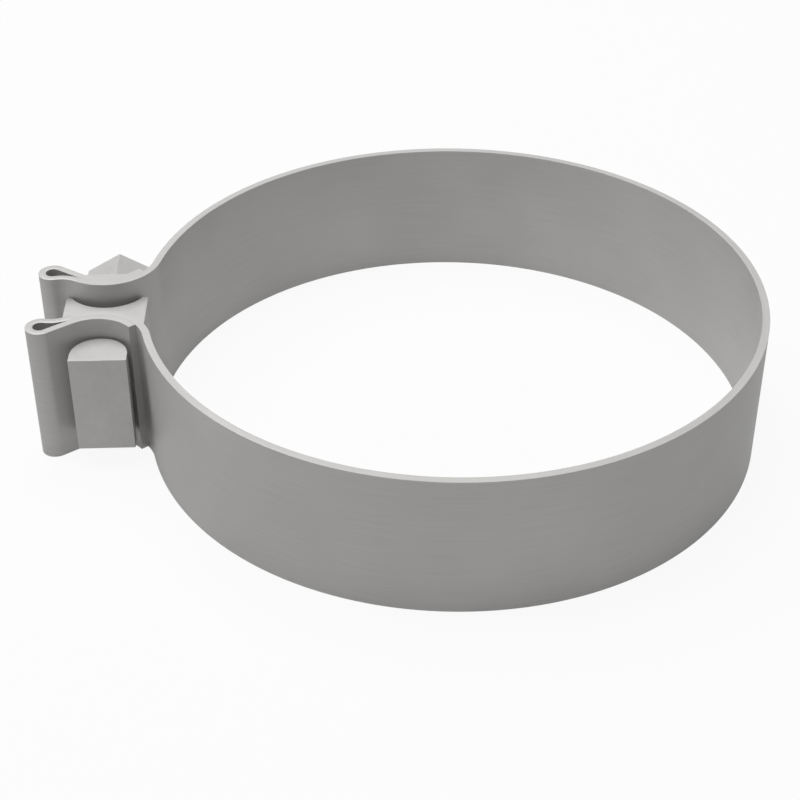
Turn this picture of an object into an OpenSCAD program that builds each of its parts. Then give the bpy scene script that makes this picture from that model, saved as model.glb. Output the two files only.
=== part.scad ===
// Flat band clamp for a lap joint in an exhaust pipe, shown open, as supplied.
// The origin is on the ring's axis, at the lower edge of the strap. +Z is along
// the pipe, the lugs point along -X and the bolt runs along +Y.

/* [Band] */
// Inside diameter of the open ring
ring_d = 131.26; // [100:0.01:170]
// Width of the strap, along the pipe
strap_w = 31.75; // [26:0.05:50]
// Thickness of the strap
strap_t = 1.6; // [1:0.05:2]
// Smallest gap between the two lugs
lug_gap = 10.4; // [9:0.1:16]
// Radius of the trough that a bar beds in
seat_r = 8.6; // [7.5:0.05:10]
// Radius of the lug's outward lip, on the side of the gap
lip_r = 6.1; // [5:0.05:8]
// How far the trough wraps before the lip begins
trough_wrap = 32.6; // [28:0.1:38]
// How far the lip turns before the fold begins
lip_turn = 45.3; // [40:0.1:52]
// Inside radius of the fold at the tip of a lug
fold_r = 1.5; // [1:0.05:2]
// How far past the bolt the folded layer reaches
fold_reach = 53.5; // [48:0.1:60]
// Diameter of the bolt holes in the lugs
lug_hole_d = 11; // [10.4:0.1:12]

/* [T bolt] */
// How far the bolt's axis lies from the middle of the troughs, towards the ring
bolt_offset = 0.4; // [0:0.05:1]
// Width of the half-round head and of the half-round bar
bar_w = 12.15; // [11.6:0.05:14]
// Depth of the head and of the bar, crown to flat
bar_depth = 8.45; // [7.5:0.05:10]
// Height of the head and of the bar
bar_h = 22.7; // [18:0.1:25]
// Outside diameter of the thread
bolt_d = 9.9; // [8:0.05:10.2]
// Length of the bolt from the crown of its head to its tip
bolt_l = 44; // [38:0.1:55]
// Chamfer at the tip of the bolt
tip_chamfer = 1; // [0.3:0.1:1.5]
// Play between a crown and its trough while the clamp is loose
seat_gap = 0.5; // [0.1:0.05:0.8]

/* [Spacer block] */
// Width of the spacer block
spacer_w = 17.8; // [15:0.1:19]
// Height of the spacer block
spacer_h = 22.7; // [18:0.1:25]
// Thickness of the spacer block at its waist
spacer_waist = 6.5; // [5:0.1:7]
// Radius of the four rounded horns
horn_r = 0.75; // [0.6:0.05:1]
// Play between the horns and the lips of the lugs
horn_play = 0.25; // [0.2:0.05:0.5]
// Clearance all round the bolt in the spacer block and the bar
bolt_clearance = 0.3; // [0.1:0.05:0.4]

/* [Flange nut] */
// Width across the flats of the hexagon
nut_af = 15.2; // [14:0.1:17]
// Height of the nut with its flange
nut_h = 13.4; // [10:0.1:16]
// Diameter of the flange
flange_d = 18.4; // [18:0.1:19.5]
// Thickness of the flange at its rim
flange_t = 1.5; // [1:0.1:2.5]
// Height of the cone between the flange and the hexagon
flange_cone_h = 1.6; // [0.5:0.1:3]
// Countersink at each mouth of the nut's thread
nut_sink = 0.6; // [0.2:0.1:1]
// Running clearance all round the thread
thread_clearance = 0.05; // [0.02:0.01:0.1]

/* [Hidden] */
$fn = 128;

ring_r = ring_d / 2;
mid_z = strap_w / 2;

// The trough's circle lies beyond half the gap and touches the ring
trough_r = seat_r + 2 * strap_t;
trough_y = lug_gap / 2 + trough_r;
trough_x = -sqrt(pow(ring_r + trough_r, 2) - pow(trough_y, 2));
trough_c = [trough_x, trough_y];
ring_end = asin(trough_y / (ring_r + trough_r));

// Each later centre lies at the sum of two touching radii from the one before
lip_start = -90 - trough_wrap;
lip_c = trough_c + polar(trough_r + lip_r, lip_start);
fold_dir = 90 - trough_wrap + lip_turn;
fold_c = lip_c + polar(lip_r + strap_t + fold_r, fold_dir);

// The straight leg back into the trough is the inner tangent of fold and seat
fold_outer_r = fold_r + strap_t;
fold_to_trough = trough_c - fold_c;
centre_gap = norm(fold_to_trough);
leg_dir = atan2(fold_to_trough[1], fold_to_trough[0])
    + acos((fold_outer_r + seat_r) / centre_gap);
leg_l = sqrt(pow(centre_gap, 2) - pow(fold_outer_r + seat_r, 2));
fold_end = -90 + fold_reach;

// The press closes the thin end of the loop a little past the tangent point
nip_wrap = 5;

// The strap's lengths run into each other by the lap, and every second one is
// thicker by a hair on both sides, so that no two outlines touch at a tangent
lap = 0.05;
hair = 0.01;

// The loose block lies against the bolt, a hair clear of it, on the side of the ring
spacer_shift = bolt_clearance - 0.05;

bolt_x = trough_x + bolt_offset;
spacer_x = bolt_x - spacer_shift;

// Each horn lies inside the curve of a lip, and the hollow runs from waist to horn
horn_x = spacer_w / 2 - horn_r;
horn_reach = lip_r - horn_play - horn_r;
horn_y = lip_c[1] + sqrt(pow(horn_reach, 2) - pow(spacer_x - horn_x - lip_c[0], 2));
horn_rise = horn_y - spacer_waist / 2;
hollow_r = (pow(horn_x, 2) + pow(horn_rise, 2) - pow(horn_r, 2)) / (2 * (horn_r + horn_rise));
hollow_y = spacer_waist / 2 + hollow_r;

hole_l = 2 * trough_y;
round_r = bar_w / 2;
bed_y = sqrt(pow(seat_r - round_r, 2) - pow(bolt_offset, 2));
crown_y = trough_y - bed_y - round_r + seat_gap;
flat_y = crown_y + bar_depth;
bore_d = bolt_d + 2 * bolt_clearance;
nut_bore_d = bolt_d + 2 * thread_clearance;

function polar(r, a) = r * [cos(a), sin(a)];

function arc_deg(l, r) = l / r * 180 / PI;

// An arc of strap, r1 to r2 across, that turns about a centre from a1 to a2
module arc(centre, r1, r2, a1, a2) {
    steps = 6;
    fan = [for (i = [0:steps]) polar(2 * r2, a1 + (a2 - a1) * i / steps)];
    translate(centre)
        intersection() {
            difference() {
                circle(r = r2);
                circle(r = r1);
            }
            polygon(concat([[0, 0]], fan));
        }
}

// The edge of one lug: trough, lip, fold, straight leg and the layer laid back on the trough
module lug_edge() {
    layer_r = seat_r + strap_t;
    leg_end = leg_dir - 180;
    lip_lap = arc_deg(lap, lip_r);
    arc(trough_c, layer_r - hair, trough_r + hair, lip_start, -ring_end);
    arc(lip_c, lip_r, lip_r + strap_t, 90 - trough_wrap - lip_lap, fold_dir + lip_lap);
    arc(fold_c, fold_r - hair, fold_outer_r + hair, leg_dir, fold_dir + 180);
    translate(fold_c)
        rotate(leg_dir - 90)
            translate([-lap, fold_r])
                square([leg_l + 2 * lap, strap_t]);
    arc(trough_c, seat_r - hair, layer_r + strap_t / 2, leg_end, fold_end);
    arc(trough_c, seat_r + strap_t / 2, layer_r + strap_t / 2,
        leg_end - nip_wrap, leg_end + nip_wrap);
}

// A cylinder along the bolt, between two places on it
module on_bolt(d, y1, y2) {
    translate([bolt_x, y1, mid_z])
        rotate([-90, 0, 0])
            cylinder(d = d, h = y2 - y1);
}

// A bar with one round side: the crown is at y = 0 and the flat at y = bar_depth
module half_round() {
    translate([0, 0, mid_z - bar_h / 2])
        linear_extrude(bar_h)
            intersection() {
                translate([-round_r, 0]) square([bar_w, bar_depth]);
                union() {
                    translate([0, round_r]) circle(r = round_r);
                    translate([-round_r, round_r]) square([bar_w, bar_depth]);
                }
            }
}

// One strap, bent to a ring, with each end turned out and folded back on itself
module band() {
    ring_sweep = 360 - 2 * (ring_end - arc_deg(lap, ring_r));
    color("silver")
        difference() {
            linear_extrude(strap_w) {
                arc([0, 0], ring_r, ring_r + strap_t, -ring_sweep / 2, ring_sweep / 2);
                lug_edge();
                mirror([0, 1]) lug_edge();
            }
            on_bolt(lug_hole_d, -hole_l / 2, hole_l / 2);
        }
}

// A bolt forged with a half-round head that beds in the front lug
module t_bolt() {
    tip_y = bolt_l - crown_y;
    color("silver") {
        translate([bolt_x, -crown_y, 0])
            mirror([0, 1, 0])
                half_round();
        on_bolt(bolt_d, -crown_y - bar_depth / 2, tip_y - tip_chamfer);
        translate([bolt_x, tip_y - tip_chamfer, mid_z])
            rotate([-90, 0, 0])
                cylinder(d1 = bolt_d, d2 = bolt_d - 2 * tip_chamfer, h = tip_chamfer);
    }
}

// A quarter of the block: the side, the horn and the floor of the hollow
module spacer_quarter() {
    horn_c = [horn_x, horn_y];
    hollow_c = [0, hollow_y];
    touch = hollow_c + hollow_r / (hollow_r + horn_r) * (horn_c - hollow_c);
    difference() {
        union() {
            polygon([[0, 0], [spacer_w / 2, 0], [spacer_w / 2, horn_y], horn_c, touch, [0, touch[1]]]);
            translate(horn_c) circle(r = horn_r);
        }
        translate(hollow_c) circle(r = hollow_r + hair);
    }
}

// A drawn block, hollow on both sides, that keeps the lugs apart
module spacer_block() {
    color("darkgray")
        difference() {
            translate([spacer_x, 0, mid_z - spacer_h / 2])
                linear_extrude(spacer_h)
                    for (sx = [0, 1], sy = [0, 1])
                        mirror([sx, 0]) mirror([0, sy]) spacer_quarter();
            translate([-spacer_shift, 0, 0]) on_bolt(bore_d, -spacer_w / 2, spacer_w / 2);
        }
}

// The half-round bar under the nut, bored for the bolt
module clamp_bar() {
    color("darkgray")
        difference() {
            translate([bolt_x, crown_y, 0]) half_round();
            on_bolt(bore_d, crown_y - 1, flat_y + 1);
        }
}

// A tall hexagon nut with a round flange that bears on the flat of the bar
module flange_nut() {
    hex_r = nut_af / 2 / cos(30);
    sink_r = nut_bore_d / 2;
    color("gray")
        translate([bolt_x, flat_y, mid_z])
            rotate([-90, 0, 0])
                difference() {
                    union() {
                        cylinder(d = flange_d, h = flange_t);
                        translate([0, 0, flange_t])
                            cylinder(d1 = flange_d, d2 = nut_af, h = flange_cone_h);
                        rotate([0, 0, 90])
                            cylinder(r = hex_r, h = nut_h, $fn = 6);
                    }
                    translate([0, 0, -1])
                        cylinder(d = nut_bore_d, h = nut_h + 2);
                    cylinder(r1 = sink_r + nut_sink, r2 = sink_r, h = nut_sink);
                    translate([0, 0, nut_h - nut_sink])
                        cylinder(r1 = sink_r, r2 = sink_r + nut_sink, h = nut_sink);
                }
}

band();
t_bolt();
spacer_block();
clamp_bar();
flange_nut();
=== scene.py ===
import math

import bmesh
import bpy
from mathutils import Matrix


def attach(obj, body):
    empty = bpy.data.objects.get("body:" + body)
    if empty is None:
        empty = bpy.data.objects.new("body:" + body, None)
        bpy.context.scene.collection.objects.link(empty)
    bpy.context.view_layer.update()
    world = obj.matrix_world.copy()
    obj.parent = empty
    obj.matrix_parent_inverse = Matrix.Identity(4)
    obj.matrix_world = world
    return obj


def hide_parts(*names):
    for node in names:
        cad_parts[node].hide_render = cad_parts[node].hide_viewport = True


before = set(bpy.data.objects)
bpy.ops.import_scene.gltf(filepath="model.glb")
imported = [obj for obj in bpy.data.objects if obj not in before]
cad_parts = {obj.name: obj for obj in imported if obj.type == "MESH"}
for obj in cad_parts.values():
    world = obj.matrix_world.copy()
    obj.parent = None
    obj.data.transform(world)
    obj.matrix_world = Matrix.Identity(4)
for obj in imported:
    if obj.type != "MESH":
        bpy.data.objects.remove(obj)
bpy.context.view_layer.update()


# The camera stands low in front of the clamp, a little to the right of the bolt's head, and
# looks down on it through a short telephoto lens.
camera = bpy.data.objects.new("camera", bpy.data.cameras.new("camera"))
camera.location = (-0.02398, -0.3117, 0.2233)
camera.rotation_euler = (math.radians(54.79), 0, math.radians(-2.29))
camera.data.lens = 76.36
camera.data.sensor_width = 36
camera.data.clip_start = 0.01
camera.data.clip_end = 20
bpy.context.scene.collection.objects.link(camera)
bpy.context.scene.camera = camera


# The strap is one length of cold-rolled steel strip, 31.75 mm wide and 1.6 mm thick, rolled to a
# ring. Each end is pressed outward over a half-round former, turned back in a teardrop loop and
# laid on itself, so that the bolt pulls on two layers. The bolt holes go through both.
MM = 0.001
STRIP_WIDTH = 31.75 * MM
STRIP_THICK = 1.6 * MM
STRIP_EDGE = 0.03 * MM
LAYER_GAP = 0.003 * MM
PIPE_RADIUS = 65.63 * MM
LUG_GAP = 10.4 * MM
BED_RADIUS = 8.6 * MM
LIP_INNER = 6.1 * MM
LOOP_INNER = 1.5 * MM
TROUGH_WRAP = math.radians(32.6)
LIP_SWEEP = math.radians(45.3)
SEAT_REACH = math.radians(53.5)
HOLE_RADIUS = 5.5 * MM
BOLT_OFFSET = 0.4 * MM
ARC_POINTS = {"Ring": 361, "Trough": 56, "Lip": 24, "Loop": 56, "Seat": 45}
CHAIN_WELD = 0.002 * MM
HOLE_STEPS = 96


def polar(centre, radius, angle):
    """The point at this distance and angle from a centre, level with it."""
    return (centre[0] + radius * math.cos(angle), centre[1] + radius * math.sin(angle), centre[2])


# The radii of the bends are to the middle of the strip.
RING_RADIUS = PIPE_RADIUS + STRIP_THICK / 2
TROUGH_RADIUS = BED_RADIUS + 1.5 * STRIP_THICK
SEAT_RADIUS = BED_RADIUS + STRIP_THICK / 2 - LAYER_GAP
LIP_RADIUS = LIP_INNER + STRIP_THICK / 2
LOOP_RADIUS = LOOP_INNER + STRIP_THICK / 2
MID_Z = STRIP_WIDTH / 2
TROUGH_Y = LUG_GAP / 2 + STRIP_THICK / 2 + TROUGH_RADIUS
TROUGH = (-math.sqrt((RING_RADIUS + TROUGH_RADIUS) ** 2 - TROUGH_Y**2), TROUGH_Y, MID_Z)
RING_END = math.asin(TROUGH_Y / (RING_RADIUS + TROUGH_RADIUS))
LIP_START = -math.pi / 2 - TROUGH_WRAP
LIP = polar(TROUGH, TROUGH_RADIUS + LIP_RADIUS, LIP_START)
LIP_END = LIP_START + math.pi + LIP_SWEEP
LOOP = polar(LIP, LIP_RADIUS + LOOP_RADIUS, LIP_END)
LOOP_TO_TROUGH = (TROUGH[0] - LOOP[0], TROUGH[1] - LOOP[1])
LEG_ANGLE = math.atan2(LOOP_TO_TROUGH[1], LOOP_TO_TROUGH[0]) + math.acos(
    (LOOP_RADIUS + SEAT_RADIUS) / math.hypot(*LOOP_TO_TROUGH)
)
SEAT_END = SEAT_REACH - math.pi / 2
BOLT_X = TROUGH[0] + BOLT_OFFSET


class Wire:
    """The output of a node. Sums and products of wires add their own maths nodes."""

    def __init__(self, bench, socket):
        self.bench = bench
        self.socket = socket

    def out(self, name):
        return Wire(self.bench, self.socket.node.outputs[name])

    def maths(self, operation, *others):
        return self.bench.maths(operation, self, *others)

    def __add__(self, other):
        return self.maths("ADD", other)

    def __sub__(self, other):
        return self.maths("SUBTRACT", other)

    def __mul__(self, other):
        return self.maths("MULTIPLY", other)

    def __truediv__(self, other):
        return self.maths("DIVIDE", other)

    def __rsub__(self, other):
        return self.bench.maths("SUBTRACT", other, self)

    def __rtruediv__(self, other):
        return self.bench.maths("DIVIDE", other, self)

    __radd__ = __add__
    __rmul__ = __mul__

    def clamped(self):
        return self.maths("MINIMUM", 1).maths("MAXIMUM", 0)


class Bench:
    """A node tree to work on. node() adds a node of any kind, its settings before its sockets."""

    def __init__(self, tree):
        self.tree = tree

    def node(self, kind, settings=None, sockets=None, out=0):
        made = self.tree.nodes.new(kind)
        for name, value in (settings or {}).items():
            setattr(made, name, value)
        for name, value in (sockets or {}).items():
            for feed in value if isinstance(value, list) else [value]:
                if isinstance(feed, Wire):
                    self.tree.links.new(feed.socket, made.inputs[name])
                else:
                    made.inputs[name].default_value = feed
        return Wire(self, made.outputs[out]) if made.outputs else None

    def maths(self, operation, *terms):
        vector = any(isinstance(term, Wire) and term.socket.type == "VECTOR" for term in terms)
        kind = "ShaderNodeVectorMath" if vector else "ShaderNodeMath"
        return self.node(kind, {"operation": operation}, dict(enumerate(terms)))

    def noise(self, place, stretch, detail=2.0):
        """Noise from 0 to 1 whose grains are 1/stretch metres long in each direction."""
        grains = self.maths("MULTIPLY", place, stretch)
        return self.node("ShaderNodeTexNoise", {}, {"Vector": grains, "Scale": 1.0, "Detail": detail})


def tree_inputs(bench, sockets):
    """Gives a geometry tree its named inputs, and returns a wire for each."""
    for name, kind in sockets.items():
        bench.tree.interface.new_socket(name, in_out="INPUT", socket_type=kind)
    entry = bench.node("NodeGroupInput")
    return {name: entry.out(name) for name in sockets}


def tree_result(bench, shape):
    """Ends a geometry tree: instances made real, the material set, one geometry out."""
    bench.tree.interface.new_socket("Shape", in_out="OUTPUT", socket_type="NodeSocketGeometry")
    bench.tree.interface.new_socket("Finish", in_out="INPUT", socket_type="NodeSocketMaterial")
    finish = bench.node("NodeGroupInput").out("Finish")
    real = bench.node("GeometryNodeRealizeInstances", {}, {"Geometry": shape})
    dressed = bench.node("GeometryNodeSetMaterial", {}, {"Geometry": real, "Material": finish})
    bench.node("NodeGroupOutput", {}, {"Shape": dressed})


def settle(piece):
    """Turns what a piece's modifiers make of it into its own plain mesh."""
    graph = bpy.context.evaluated_depsgraph_get()
    mesh = bpy.data.meshes.new_from_object(
        piece.evaluated_get(graph), preserve_all_data_layers=True, depsgraph=graph
    )
    piece.modifiers.clear()
    mesh.name = piece.name
    piece.data = mesh
    return piece


def new_piece(name):
    """An object at the origin, with an empty mesh."""
    piece = bpy.data.objects.new(name, bpy.data.meshes.new(name))
    bpy.context.scene.collection.objects.link(piece)
    return piece


def grown(name, tree, sizes):
    """A piece made by a geometry tree with these sizes, as a plain mesh."""
    piece = new_piece(name)
    modifier = piece.modifiers.new("grow", "NODES")
    modifier.node_group = tree
    for item in tree.interface.items_tree:
        if item.in_out == "INPUT":
            modifier[item.identifier] = sizes[item.name]
    return settle(piece)


CREASE = math.radians(35)


def evenly_lit(piece):
    """Keeps flat faces flat beside their small edge rounds, and real edges sharp."""
    piece.data.polygons.foreach_set("use_smooth", [True] * len(piece.data.polygons))
    piece.data.set_sharp_from_angle(angle=CREASE)
    modifier = piece.modifiers.new("even", "WEIGHTED_NORMAL")
    modifier.keep_sharp = True
    return settle(piece)


def new_finish(name):
    """A new material and the bench for its nodes."""
    material = bpy.data.materials.new(name)
    material.use_nodes = True
    material.node_tree.nodes.clear()
    return material, Bench(material.node_tree)


METALLIC = 0.25
SPECULAR_LEVEL = 0.15
GRAZING_TINT = (0.3, 0.3, 0.3, 1)


def metal_surface(bench, shades, blend, roughness, height, depth):
    """Joins two shades by a blend, a roughness and a relief of some depth into a bare metal."""
    # A colour Mix node has its two colours on sockets 6 and 7 and its result on output 2.
    colour = bench.node(
        "ShaderNodeMix",
        {"data_type": "RGBA"},
        {0: blend, 6: (*shades[0], 1), 7: (*shades[1], 1)},
        2,
    )
    relief = bench.node("ShaderNodeBump", {}, {"Strength": 1.0, "Distance": depth, "Height": height})
    surface = bench.node(
        "ShaderNodeBsdfPrincipled",
        {},
        {
            "Base Color": colour,
            "Metallic": METALLIC,
            "Roughness": roughness,
            "Specular IOR Level": SPECULAR_LEVEL,
            "Specular Tint": GRAZING_TINT,
            "Normal": relief,
        },
    )
    bench.node("ShaderNodeOutputMaterial", {}, {"Surface": surface})


SLIT_REACH = 0.35 * MM
strap_steel, bench = new_finish("strap_steel")
run = bench.node("ShaderNodeUVMap", {"uv_map": "strap_run"})
spot = bench.node("ShaderNodeTexCoord", {}, {}, "Object")
height_up = bench.node("ShaderNodeSeparateXYZ", {}, {"Vector": spot}, "Z")
rolling = bench.noise(run, (60, 2400, 1), 3)
skin = bench.noise(spot, (2600, 2600, 2600), 3)
cloud = bench.noise(spot, (45, 45, 45), 2)
slit = (1 - height_up.maths("MINIMUM", STRIP_WIDTH - height_up) / SLIT_REACH).clamped()
metal_surface(
    bench,
    ((0.460, 0.455, 0.445), (0.560, 0.554, 0.542)),
    (0.5 + (rolling - 0.5) * 0.9 + (cloud - 0.5) * 0.8 + slit * 0.04).clamped(),
    0.46 + (rolling - 0.5) * 0.14 + (skin - 0.5) * 0.1 - slit * 0.05,
    rolling * 0.6 + skin * 0.4,
    0.014 * MM,
)

bends = {
    "Ring": ((0, 0, MID_Z), RING_RADIUS, RING_END - math.pi, 2 * (math.pi - RING_END)),
    "Trough": (TROUGH, TROUGH_RADIUS, -RING_END, LIP_START + RING_END),
    "Lip": (LIP, LIP_RADIUS, LIP_START + math.pi, LIP_SWEEP),
    "Loop": (LOOP, LOOP_RADIUS, LIP_END - math.pi, LEG_ANGLE - LIP_END - math.pi),
    "Seat": (TROUGH, SEAT_RADIUS, LEG_ANGLE - math.pi, SEAT_END - LEG_ANGLE + math.pi),
}

strip_tree = Bench(bpy.data.node_groups.new("bent_strip", "GeometryNodeTree"))
inputs = {"Leg start": "NodeSocketVector", "Leg end": "NodeSocketVector"}
for bend in bends:
    inputs[bend + " centre"] = "NodeSocketVector"
    for measure in (" radius", " start", " sweep"):
        inputs[bend + measure] = "NodeSocketFloat"
    inputs[bend + " points"] = "NodeSocketInt"
for measure in ("Strip width", "Strip thickness", "Edge round", "Hole radius"):
    inputs[measure] = "NodeSocketFloat"
inputs["Hole centre"] = "NodeSocketVector"
size = tree_inputs(strip_tree, inputs)

curves = {}
for bend in bends:
    curve = strip_tree.node(
        "GeometryNodeCurveArc",
        {"mode": "RADIUS"},
        {
            "Resolution": size[bend + " points"],
            "Radius": size[bend + " radius"],
            "Start Angle": size[bend + " start"],
            "Sweep Angle": size[bend + " sweep"],
        },
    )
    curves[bend] = strip_tree.node(
        "GeometryNodeTransform", {}, {"Geometry": curve, "Translation": size[bend + " centre"]}
    )
curves["Leg"] = strip_tree.node(
    "GeometryNodeCurvePrimitiveLine", {}, {"Start": size["Leg start"], "End": size["Leg end"]}
)
ring = curves.pop("Ring")
lug = strip_tree.node("GeometryNodeJoinGeometry", {}, {"Geometry": list(curves.values())})
far_lug = strip_tree.node("GeometryNodeTransform", {}, {"Geometry": lug, "Scale": (1, -1, 1)})
lengths = strip_tree.node("GeometryNodeJoinGeometry", {}, {"Geometry": [ring, lug, far_lug]})
chain = strip_tree.node("GeometryNodeCurveToMesh", {}, {"Curve": lengths})
chain = strip_tree.node(
    "GeometryNodeMergeByDistance", {}, {"Geometry": chain, "Distance": CHAIN_WELD}
)
path = strip_tree.node("GeometryNodeMeshToCurve", {}, {"Mesh": chain})
path = strip_tree.node("GeometryNodeSetCurveNormal", {"mode": "Z_UP"}, {"Curve": path})
length_along = strip_tree.node("GeometryNodeSplineParameter").out("Length")
path = strip_tree.node(
    "GeometryNodeStoreNamedAttribute",
    {"data_type": "FLOAT", "domain": "POINT"},
    {"Geometry": path, "Name": "along", "Value": length_along},
)
section = strip_tree.node(
    "GeometryNodeCurvePrimitiveQuadrilateral",
    {"mode": "RECTANGLE"},
    {"Width": size["Strip thickness"], "Height": size["Strip width"]},
)
section = strip_tree.node(
    "GeometryNodeFilletCurve",
    {"mode": "POLY"},
    {"Curve": section, "Count": 2, "Radius": size["Edge round"]},
)
place = strip_tree.node("GeometryNodeInputPosition")
sides = strip_tree.node("ShaderNodeSeparateXYZ", {}, {"Vector": place})
section = strip_tree.node(
    "GeometryNodeStoreNamedAttribute",
    {"data_type": "FLOAT", "domain": "POINT"},
    {"Geometry": section, "Name": "across", "Value": sides.out("X") + sides.out("Y")},
)
strip = strip_tree.node(
    "GeometryNodeCurveToMesh", {}, {"Curve": path, "Profile Curve": section, "Fill Caps": True}
)
marks = [
    strip_tree.node("GeometryNodeInputNamedAttribute", {"data_type": "FLOAT"}, {"Name": mark})
    for mark in ("along", "across")
]
strip = strip_tree.node(
    "GeometryNodeStoreNamedAttribute",
    {"data_type": "FLOAT2", "domain": "CORNER"},
    {
        "Geometry": strip,
        "Name": "strap_run",
        "Value": strip_tree.node("ShaderNodeCombineXYZ", {}, {"X": marks[0], "Y": marks[1]}),
    },
)
for mark in ("along", "across"):
    strip = strip_tree.node("GeometryNodeRemoveAttribute", {}, {"Geometry": strip, "Name": mark})
drill = strip_tree.node(
    "GeometryNodeMeshCylinder",
    {},
    {"Vertices": HOLE_STEPS, "Radius": size["Hole radius"], "Depth": 4 * TROUGH_Y},
)
drill = strip_tree.node(
    "GeometryNodeTransform",
    {},
    {
        "Geometry": drill,
        "Translation": size["Hole centre"],
        "Rotation": (math.radians(90), 0, 0),
    },
)
strip = strip_tree.node(
    "GeometryNodeMeshBoolean",
    {"operation": "DIFFERENCE", "solver": "EXACT"},
    {"Mesh 1": strip, "Mesh 2": drill},
)
tree_result(strip_tree, strip)

strap_sizes = {
    "Leg start": polar(LOOP, LOOP_RADIUS, LEG_ANGLE),
    "Leg end": polar(TROUGH, SEAT_RADIUS, LEG_ANGLE - math.pi),
    "Strip width": STRIP_WIDTH,
    "Strip thickness": STRIP_THICK,
    "Edge round": STRIP_EDGE,
    "Hole radius": HOLE_RADIUS,
    "Hole centre": (BOLT_X, 0, MID_Z),
    "Finish": strap_steel,
}
for bend, (centre, radius, start, sweep) in bends.items():
    strap_sizes[bend + " centre"] = centre
    strap_sizes[bend + " radius"] = radius
    strap_sizes[bend + " start"] = start
    strap_sizes[bend + " sweep"] = sweep
    strap_sizes[bend + " points"] = ARC_POINTS[bend]
strap = evenly_lit(grown("strap", strip_tree.tree, strap_sizes))
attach(strap, "strap")
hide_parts("band")


# The bolt is hot-forged: its head is a half-round bar that beds upright in the front lug, and
# its shank is rolled with a 1.5 mm pitch thread up to a chamfered tip.
BAR_WIDTH = 12.15 * MM
BAR_DEPTH = 8.45 * MM
BAR_HEIGHT = 22.7 * MM
BAR_EDGE = 0.15 * MM
SEAT_GAP = 0.5 * MM
CROWN_STEPS = 48
EDGE_SEGMENTS = 2
EDGE_ANGLE = math.radians(32)
BOLT_LENGTH = 44.0 * MM
SHANK_RADIUS = 4.95 * MM
TIP_CHAMFER = 1.0 * MM
PITCH = 1.5 * MM
THREAD_DEPTH = 0.9 * MM
THREAD_START = 5.0 * MM
CREST_SHARE = 1 / 8
FLANK_SHARE = 5 / 16
THREAD_ROWS = 16
END_ROWS = 4
THREAD_STEPS = 48
THREAD_WELD = 0.0005 * MM
THREAD_SLIVER = 0.0002 * MM
CROWN_RADIUS = BAR_WIDTH / 2
SEATED_Y = TROUGH_Y - math.sqrt((BED_RADIUS - CROWN_RADIUS) ** 2 - BOLT_OFFSET**2) - CROWN_RADIUS
CROWN_Y = SEATED_Y + SEAT_GAP
FLAT_Y = CROWN_Y + BAR_DEPTH
TIP_Y = BOLT_LENGTH - CROWN_Y


def prism(name, outline, low, high):
    """An upright bar with this outline, from one height to another."""
    form = bmesh.new()
    ends = [[form.verts.new((x, y, z)) for x, y in outline] for z in (low, high)]
    form.faces.new(reversed(ends[0]))
    form.faces.new(ends[1])
    for i in range(len(outline)):
        j = (i + 1) % len(outline)
        form.faces.new((ends[0][i], ends[0][j], ends[1][j], ends[1][i]))
    bmesh.ops.recalc_face_normals(form, faces=form.faces)
    piece = new_piece(name)
    form.to_mesh(piece.data)
    form.free()
    return piece


def arc_points(centre, radius, start, end, steps):
    """Points on an arc, both ends among them, for angles in degrees."""
    angles = [math.radians(start + (end - start) * i / steps) for i in range(steps + 1)]
    return [(centre[0] + radius * math.cos(a), centre[1] + radius * math.sin(a)) for a in angles]


def edges_broken(piece, width):
    """The small round that tumbling or the die leaves on every real edge."""
    modifier = piece.modifiers.new("edges", "BEVEL")
    modifier.width = width
    modifier.segments = EDGE_SEGMENTS
    modifier.limit_method = "ANGLE"
    modifier.angle_limit = EDGE_ANGLE
    return settle(piece)


def joined_by(piece, operation, tool):
    """The piece cut by the tool, or made one with it. The tool is used up."""
    modifier = piece.modifiers.new("work", "BOOLEAN")
    modifier.operation = operation
    modifier.solver = "EXACT"
    modifier.object = tool
    settle(piece)
    bpy.data.objects.remove(tool)
    return piece


def half_round(name, side):
    """A half-round bar, its crown toward the ring: side is -1 for the front and 1 for the back."""
    outline = [(BOLT_X + CROWN_RADIUS, side * FLAT_Y), (BOLT_X - CROWN_RADIUS, side * FLAT_Y)]
    crown = (BOLT_X, side * (CROWN_Y + CROWN_RADIUS))
    outline += arc_points(crown, CROWN_RADIUS, 180, 180 + side * 180, CROWN_STEPS)
    return edges_broken(
        prism(name, outline, MID_Z - BAR_HEIGHT / 2, MID_Z + BAR_HEIGHT / 2), BAR_EDGE
    )


thread_tree = Bench(bpy.data.node_groups.new("screw_thread", "GeometryNodeTree"))
thread_sizes = (
    "Crest radius",
    "Thread depth",
    "Pitch",
    "Start",
    "End",
    "Fade start",
    "Mouth radius",
    "Tip radius",
    "Axis X",
    "Axis Z",
)
size = tree_inputs(
    thread_tree,
    {"Rows": "NodeSocketInt", "Steps": "NodeSocketInt"}
    | {name: "NodeSocketFloat" for name in thread_sizes},
)
grid = thread_tree.node(
    "GeometryNodeMeshGrid", {}, {"Vertices X": size["Rows"], "Vertices Y": size["Steps"] + 1}
)
index = thread_tree.node("GeometryNodeInputIndex")
row = ((index + 0.5) / (size["Steps"] + 1)).maths("FLOOR")
turn = (index - row * (size["Steps"] + 1)) / size["Steps"]
first = (size["Start"] / size["Pitch"]).maths("FLOOR")
along = (first + (row - 1) / THREAD_ROWS + turn - 1) * size["Pitch"]
along = along.maths("MAXIMUM", size["Start"]).maths("MINIMUM", size["End"])
phase = along / size["Pitch"] - turn
from_crest = 0.5 - (phase.maths("FRACT") - 0.5).maths("ABSOLUTE")
valley = (from_crest - CREST_SHARE / 2) / FLANK_SHARE
fade = ((along - size["Fade start"]) / size["Pitch"]).clamped()
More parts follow.
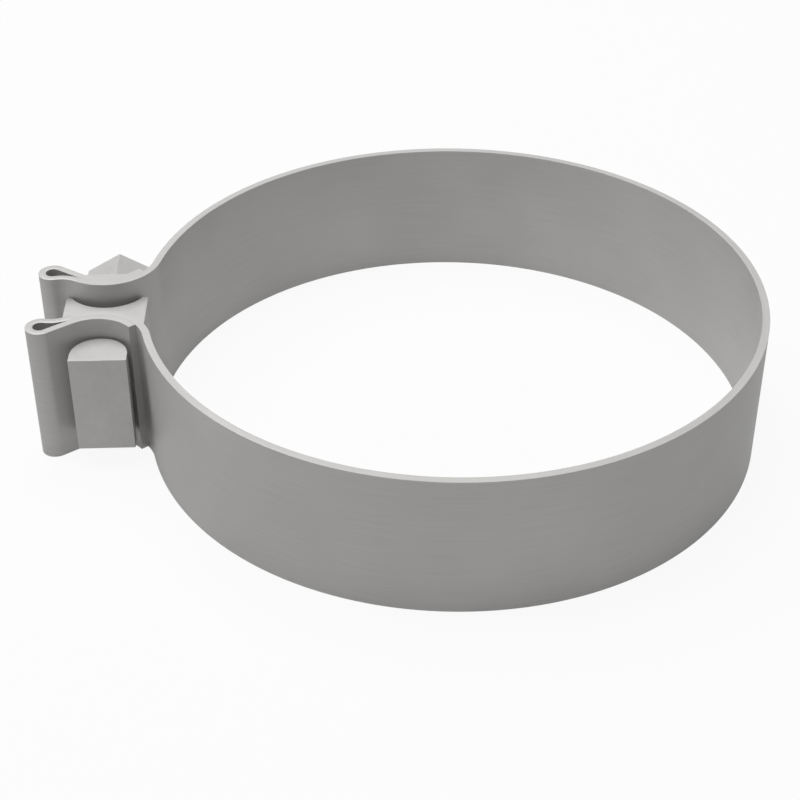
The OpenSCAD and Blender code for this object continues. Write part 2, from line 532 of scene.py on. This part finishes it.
radius = size["Crest radius"] - size["Thread depth"] * valley.clamped() * fade
radius = radius.maths("MAXIMUM", size["Mouth radius"] - (along - size["Start"]))
radius = radius.maths("MAXIMUM", size["Mouth radius"] - (size["End"] - along))
radius = radius.maths("MINIMUM", size["Tip radius"] + size["End"] - along)
inside = row.maths("GREATER_THAN", 0.5) * row.maths("LESS_THAN", size["Rows"] - 1.5)
angle = turn * math.tau
place = thread_tree.node(
    "ShaderNodeCombineXYZ",
    {},
    {
        "X": size["Axis X"] + radius * inside * angle.maths("SINE"),
        "Y": along,
        "Z": size["Axis Z"] + radius * inside * angle.maths("COSINE"),
    },
)
thread = thread_tree.node("GeometryNodeSetPosition", {}, {"Geometry": grid, "Position": place})
thread = thread_tree.node(
    "GeometryNodeMergeByDistance", {}, {"Geometry": thread, "Distance": THREAD_WELD}
)
tree_result(thread_tree, thread)


def threaded(name, finish, start, end, crest, depth, fade_start, mouth, tip):
    """A round bar with a right-hand thread, on the bolt's line. Both its ends widen to the
    mouth's radius, and the far end is chamfered to the tip's."""
    turns = (end - start) / PITCH + 2
    piece = grown(
        name,
        thread_tree.tree,
        {
            "Rows": math.ceil(turns * THREAD_ROWS) + END_ROWS,
            "Steps": THREAD_STEPS,
            "Crest radius": crest,
            "Thread depth": depth,
            "Pitch": PITCH,
            "Start": start,
            "End": end,
            "Fade start": fade_start,
            "Mouth radius": mouth,
            "Tip radius": tip,
            "Axis X": BOLT_X,
            "Axis Z": MID_Z,
            "Finish": finish,
        },
    )
    form = bmesh.new()
    form.from_mesh(piece.data)
    bmesh.ops.dissolve_degenerate(form, edges=form.edges, dist=THREAD_SLIVER)
    bmesh.ops.recalc_face_normals(form, faces=form.faces)
    form.to_mesh(piece.data)
    form.free()
    return piece


def about_the_bolt(bench, spot):
    """How far a spot is from the bolt's line, and how far along it."""
    from_axis = bench.maths("SUBTRACT", spot, (BOLT_X, 0, MID_Z)) * (1, 0, 1)
    radius = bench.node("ShaderNodeVectorMath", {"operation": "LENGTH"}, {0: from_axis}, "Value")
    return radius, bench.node("ShaderNodeSeparateXYZ", {}, {"Vector": spot}, "Y")


bolt_steel, bench = new_finish("bolt_steel")
spot = bench.node("ShaderNodeTexCoord", {}, {}, "Object")
radius, forward = about_the_bolt(bench, spot)
on_thread = forward.maths("GREATER_THAN", THREAD_START - MM)
# The thread's roots are painted darker: painted shade in the recesses between the turns. The same
# mask also makes the roots a little rougher.
painted_root_shade = ((SHANK_RADIUS - radius) / THREAD_DEPTH).clamped() * on_thread
peel = bench.noise(spot, (900, 900, 900), 3)
skin = bench.noise(spot, (3200, 3200, 3200), 2)
cloud = bench.noise(spot, (110, 110, 110), 2)
metal_surface(
    bench,
    ((0.340, 0.336, 0.328), (0.575, 0.569, 0.557)),
    (0.75 + (cloud - 0.5) * 0.4 + (peel - 0.5) * 0.3 - painted_root_shade * 0.55).clamped(),
    0.47 + (peel - 0.5) * 0.12 + (skin - 0.5) * 0.08 + painted_root_shade * 0.08,
    peel * 0.7 + skin * 0.3,
    0.012 * MM,
)

headed_bolt = half_round("headed_bolt", -1)
headed_bolt.data.materials.append(bolt_steel)
shank = threaded(
    "shank",
    bolt_steel,
    start=-(CROWN_Y + FLAT_Y) / 2,
    end=TIP_Y,
    crest=SHANK_RADIUS,
    depth=THREAD_DEPTH,
    fade_start=THREAD_START,
    mouth=0,
    tip=SHANK_RADIUS - TIP_CHAMFER,
)
evenly_lit(joined_by(headed_bolt, "UNION", shank))
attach(headed_bolt, "bolt")
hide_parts("t_bolt")


# The spacer is cut from a drawn steel section, hollow on both sides. Its four horns lie inside
# the lips of the lugs and keep them apart, and the bolt goes through it with a little room.
SPACER_WIDTH = 17.8 * MM
SPACER_WAIST = 6.5 * MM
SPACER_EDGE = 0.12 * MM
SPACER_SHIFT = 0.25 * MM
HORN_RADIUS = 0.75 * MM
HORN_PLAY = 0.25 * MM
HORN_STEPS = 16
HOLLOW_STEPS = 24
BORE_RADIUS = 5.25 * MM
BORE_STEPS = 48
DRILL_REACH = 100 * MM
spacer_x = BOLT_X - SPACER_SHIFT
horn_x = SPACER_WIDTH / 2 - HORN_RADIUS
horn_reach = LIP_RADIUS - STRIP_THICK / 2 - HORN_PLAY - HORN_RADIUS
horn_y = LIP[1] + math.sqrt(horn_reach**2 - (spacer_x - horn_x - LIP[0]) ** 2)
horn_rise = horn_y - SPACER_WAIST / 2
hollow_radius = (horn_x**2 + horn_rise**2 - HORN_RADIUS**2) / (2 * (HORN_RADIUS + horn_rise))
hollow_y = SPACER_WAIST / 2 + hollow_radius
hollow_end = math.degrees(math.atan2(horn_y - hollow_y, horn_x))

quarter = arc_points((horn_x, horn_y), HORN_RADIUS, 0, 180 + hollow_end, HORN_STEPS)
quarter += arc_points((0, hollow_y), hollow_radius, hollow_end, -90, HOLLOW_STEPS)[1:]
outline = quarter + [(-x, y) for x, y in reversed(quarter[:-1])]
outline += [(-x, -y) for x, y in quarter] + [(x, -y) for x, y in reversed(quarter[:-1])]
outline = [(spacer_x + x, y) for x, y in outline]


def turned(name, outline, steps):
    """A solid turned on the bolt's line. The outline gives place and radius from end to end."""
    form = bmesh.new()
    rings = []
    for along, radius in outline:
        count = steps if radius > 0 else 1
        angles = [math.tau * i / steps for i in range(count)]
        rings.append(
            [
                form.verts.new(
                    (BOLT_X + radius * math.sin(a), along, MID_Z + radius * math.cos(a))
                )
                for a in angles
            ]
        )
    for one, two in zip(rings, rings[1:]):
        for i in range(steps):
            j = (i + 1) % steps
            corners = [one[i % len(one)], one[j % len(one)], two[j % len(two)], two[i % len(two)]]
            form.faces.new(list(dict.fromkeys(corners)))
    bmesh.ops.recalc_face_normals(form, faces=form.faces)
    piece = new_piece(name)
    form.to_mesh(piece.data)
    form.free()
    return piece


def bored(piece, radius):
    """The piece with a plain round hole through it on the bolt's line."""
    near, far = -DRILL_REACH, DRILL_REACH
    drill = turned("drill", [(near, 0), (near, radius), (far, radius), (far, 0)], BORE_STEPS)
    return joined_by(piece, "DIFFERENCE", drill)


spacer_steel, bench = new_finish("spacer_steel")
spot = bench.node("ShaderNodeTexCoord", {}, {}, "Object")
drawn = bench.noise(spot, (2400, 2400, 90), 3)
sawn = bench.noise(spot, (260, 3000, 1200), 2)
cloud = bench.noise(spot, (150, 150, 150), 2)
metal_surface(
    bench,
    ((0.470, 0.465, 0.456), (0.575, 0.569, 0.557)),
    (0.5 + (cloud - 0.5) * 0.7 + (drawn - 0.5) * 0.5 + (sawn - 0.5) * 0.3).clamped(),
    0.47 + (drawn - 0.5) * 0.12 + (sawn - 0.5) * 0.08,
    drawn * 0.5 + sawn * 0.5,
    0.010 * MM,
)

spacer = edges_broken(
    prism("spacer", outline, MID_Z - BAR_HEIGHT / 2, MID_Z + BAR_HEIGHT / 2), SPACER_EDGE
)
spacer.data.materials.append(spacer_steel)
evenly_lit(bored(spacer, BORE_RADIUS))
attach(spacer, "spacer")
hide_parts("spacer_block")


# The bar under the nut is a length of drawn half-round steel, bored for the bolt. Its crown
# beds in the back lug and its flat carries the nut.
bar_steel, bench = new_finish("bar_steel")
spot = bench.node("ShaderNodeTexCoord", {}, {}, "Object")
drawn = bench.noise(spot, (2600, 2600, 70), 3)
cloud = bench.noise(spot, (130, 130, 130), 2)
metal_surface(
    bench,
    ((0.450, 0.445, 0.436), (0.550, 0.544, 0.532)),
    (0.5 + (cloud - 0.5) * 0.7 + (drawn - 0.5) * 0.8).clamped(),
    0.46 + (drawn - 0.5) * 0.16,
    drawn,
    0.010 * MM,
)
half_round_bar = half_round("half_round_bar", 1)
half_round_bar.data.materials.append(bar_steel)
evenly_lit(bored(half_round_bar, BORE_RADIUS))
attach(half_round_bar, "bar")
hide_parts("clamp_bar")


# The nut is a tall hexagon nut, cold-formed with a round flange that bears on the bar, and
# tapped through. Both mouths of its thread are countersunk.
NUT_FLATS = 15.2 * MM
NUT_HEIGHT = 13.4 * MM
NUT_CORNERS = 6
NUT_EDGE = 0.1 * MM
FLANGE_RADIUS = 9.2 * MM
FLANGE_THICK = 1.5 * MM
FLANGE_CONE = 1.6 * MM
FLANGE_EDGE = 0.25 * MM
FLANGE_STEPS = 96
CONE_HIDDEN = 0.4 * MM
NUT_CREST = 5.03 * MM
NUT_DEPTH = 0.8 * MM
NUT_MOUTH = 5.6 * MM
TAP_PASS = 0.02 * MM

nut_steel, bench = new_finish("nut_steel")
spot = bench.node("ShaderNodeTexCoord", {}, {}, "Object")
radius, forward = about_the_bolt(bench, spot)
turned_place = bench.node(
    "ShaderNodeCombineXYZ", {}, {"X": radius * 2600, "Y": forward * 900, "Z": 0}
)
rings = bench.noise(turned_place, (1, 1, 1), 2)
pressed = bench.noise(spot, (1800, 120, 1800), 3)
cloud = bench.noise(spot, (160, 160, 160), 2)
thread_dark = ((NUT_CREST - radius) / NUT_DEPTH + 0.2).clamped()
metal_surface(
    bench,
    ((0.450, 0.445, 0.436), (0.550, 0.544, 0.532)),
    (0.5 + (cloud - 0.5) * 0.7 + (rings - 0.5) * 0.4 + (pressed - 0.5) * 0.4).clamped(),
    0.45 + (pressed - 0.5) * 0.1 + (rings - 0.5) * 0.08 + thread_dark * 0.05,
    pressed * 0.5 + rings * 0.5,
    0.010 * MM,
)

corner_radius = NUT_FLATS / math.sqrt(3)
nut_end = FLAT_Y + NUT_HEIGHT
inside_flange = FLAT_Y + FLANGE_THICK / 2
nut = turned(
    "nut",
    [(inside_flange, 0), (inside_flange, corner_radius), (nut_end, corner_radius), (nut_end, 0)],
    NUT_CORNERS,
)
edges_broken(nut, NUT_EDGE)
flange_top = FLAT_Y + FLANGE_THICK
cone_top = flange_top + FLANGE_CONE + CONE_HIDDEN
edge_cut = FLANGE_EDGE * (1 - math.sqrt(0.5))
flange = turned(
    "flange",
    [
        (FLAT_Y, 0),
        (FLAT_Y, FLANGE_RADIUS - FLANGE_EDGE),
        (FLAT_Y + edge_cut, FLANGE_RADIUS - edge_cut),
        (FLAT_Y + FLANGE_EDGE, FLANGE_RADIUS),
        (flange_top - FLANGE_EDGE, FLANGE_RADIUS),
        (flange_top, FLANGE_RADIUS - FLANGE_EDGE / 2),
        (cone_top, NUT_FLATS / 2 - CONE_HIDDEN),
        (cone_top, 0),
    ],
    FLANGE_STEPS,
)
nut.data.materials.append(nut_steel)
joined_by(nut, "UNION", flange)
tap = threaded(
    "tap",
    nut_steel,
    start=FLAT_Y - TAP_PASS,
    end=nut_end + TAP_PASS,
    crest=NUT_CREST,
    depth=NUT_DEPTH,
    fade_start=0,
    mouth=NUT_MOUTH + TAP_PASS,
    tip=corner_radius,
)
evenly_lit(joined_by(nut, "DIFFERENCE", tap))
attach(nut, "nut")
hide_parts("flange_nut")


# The studio: a wide pale floor, one large soft light behind and to the left, and even white all
# round. The floor shows as the white background and still takes the object's shadow.
FLOOR_SIZE = 12.0
FLOOR_DROP = 0.02 * MM
FLOOR_TONE = (0.72, 0.72, 0.72, 1)
FLOOR_GLOW = 0.92
ROOM_LIGHT = 0.22
WHITE = (1, 1, 1, 1)


def shown_rays(bench):
    """1 for the rays that show the backdrop: straight from the camera, off gloss or through glass."""
    ray = bench.node("ShaderNodeLightPath")
    rays = ray.out("Is Camera Ray") + ray.out("Is Glossy Ray") + ray.out("Is Transmission Ray")
    return rays.clamped()


floor_paint, bench = new_finish("floor_paint")
matt = bench.node("ShaderNodeBsdfDiffuse", {}, {"Color": FLOOR_TONE})
glow = bench.node("ShaderNodeEmission", {}, {"Color": WHITE, "Strength": 1.0})
white_share = shown_rays(bench) * FLOOR_GLOW
surface = bench.node("ShaderNodeMixShader", {}, {0: white_share, 1: matt, 2: glow})
bench.node("ShaderNodeOutputMaterial", {}, {"Surface": surface})
half = FLOOR_SIZE / 2
floor = new_piece("floor")
floor.data.from_pydata(
    [(x * half, y * half, -FLOOR_DROP) for x, y in ((-1, -1), (1, -1), (1, 1), (-1, 1))],
    [],
    [(0, 1, 2, 3)],
)
floor.data.materials.append(floor_paint)

world = bpy.data.worlds.new("studio")
world.use_nodes = True
world.node_tree.nodes.clear()
bench = Bench(world.node_tree)
brightness = ROOM_LIGHT + shown_rays(bench) * (1 - ROOM_LIGHT)
sky = bench.node("ShaderNodeBackground", {}, {"Color": WHITE, "Strength": brightness})
bench.node("ShaderNodeOutputWorld", {}, {"Surface": sky})
bpy.context.scene.world = world


def soft_light(name, place, aim, width, height, power):
    """A rectangular area lamp that faces a point."""
    lamp = bpy.data.lights.new(name, "AREA")
    lamp.shape = "RECTANGLE"
    lamp.size = width
    lamp.size_y = height
    lamp.energy = power
    holder = bpy.data.objects.new(name, lamp)
    holder.location = place
    toward = [a - p for a, p in zip(aim, place)]
    flat = math.hypot(toward[0], toward[1])
    holder.rotation_euler = (
        math.atan2(flat, -toward[2]),
        0,
        math.atan2(toward[1], toward[0]) - math.pi / 2,
    )
    bpy.context.scene.collection.objects.link(holder)


soft_light(
    "overhead_softbox",
    place=(-0.28, 0.2, 1.0),
    aim=(-0.02, 0, 0.01),
    width=1.0,
    height=1.0,
    power=12.3,
)
bpy.context.scene.view_settings.view_transform = "Standard"
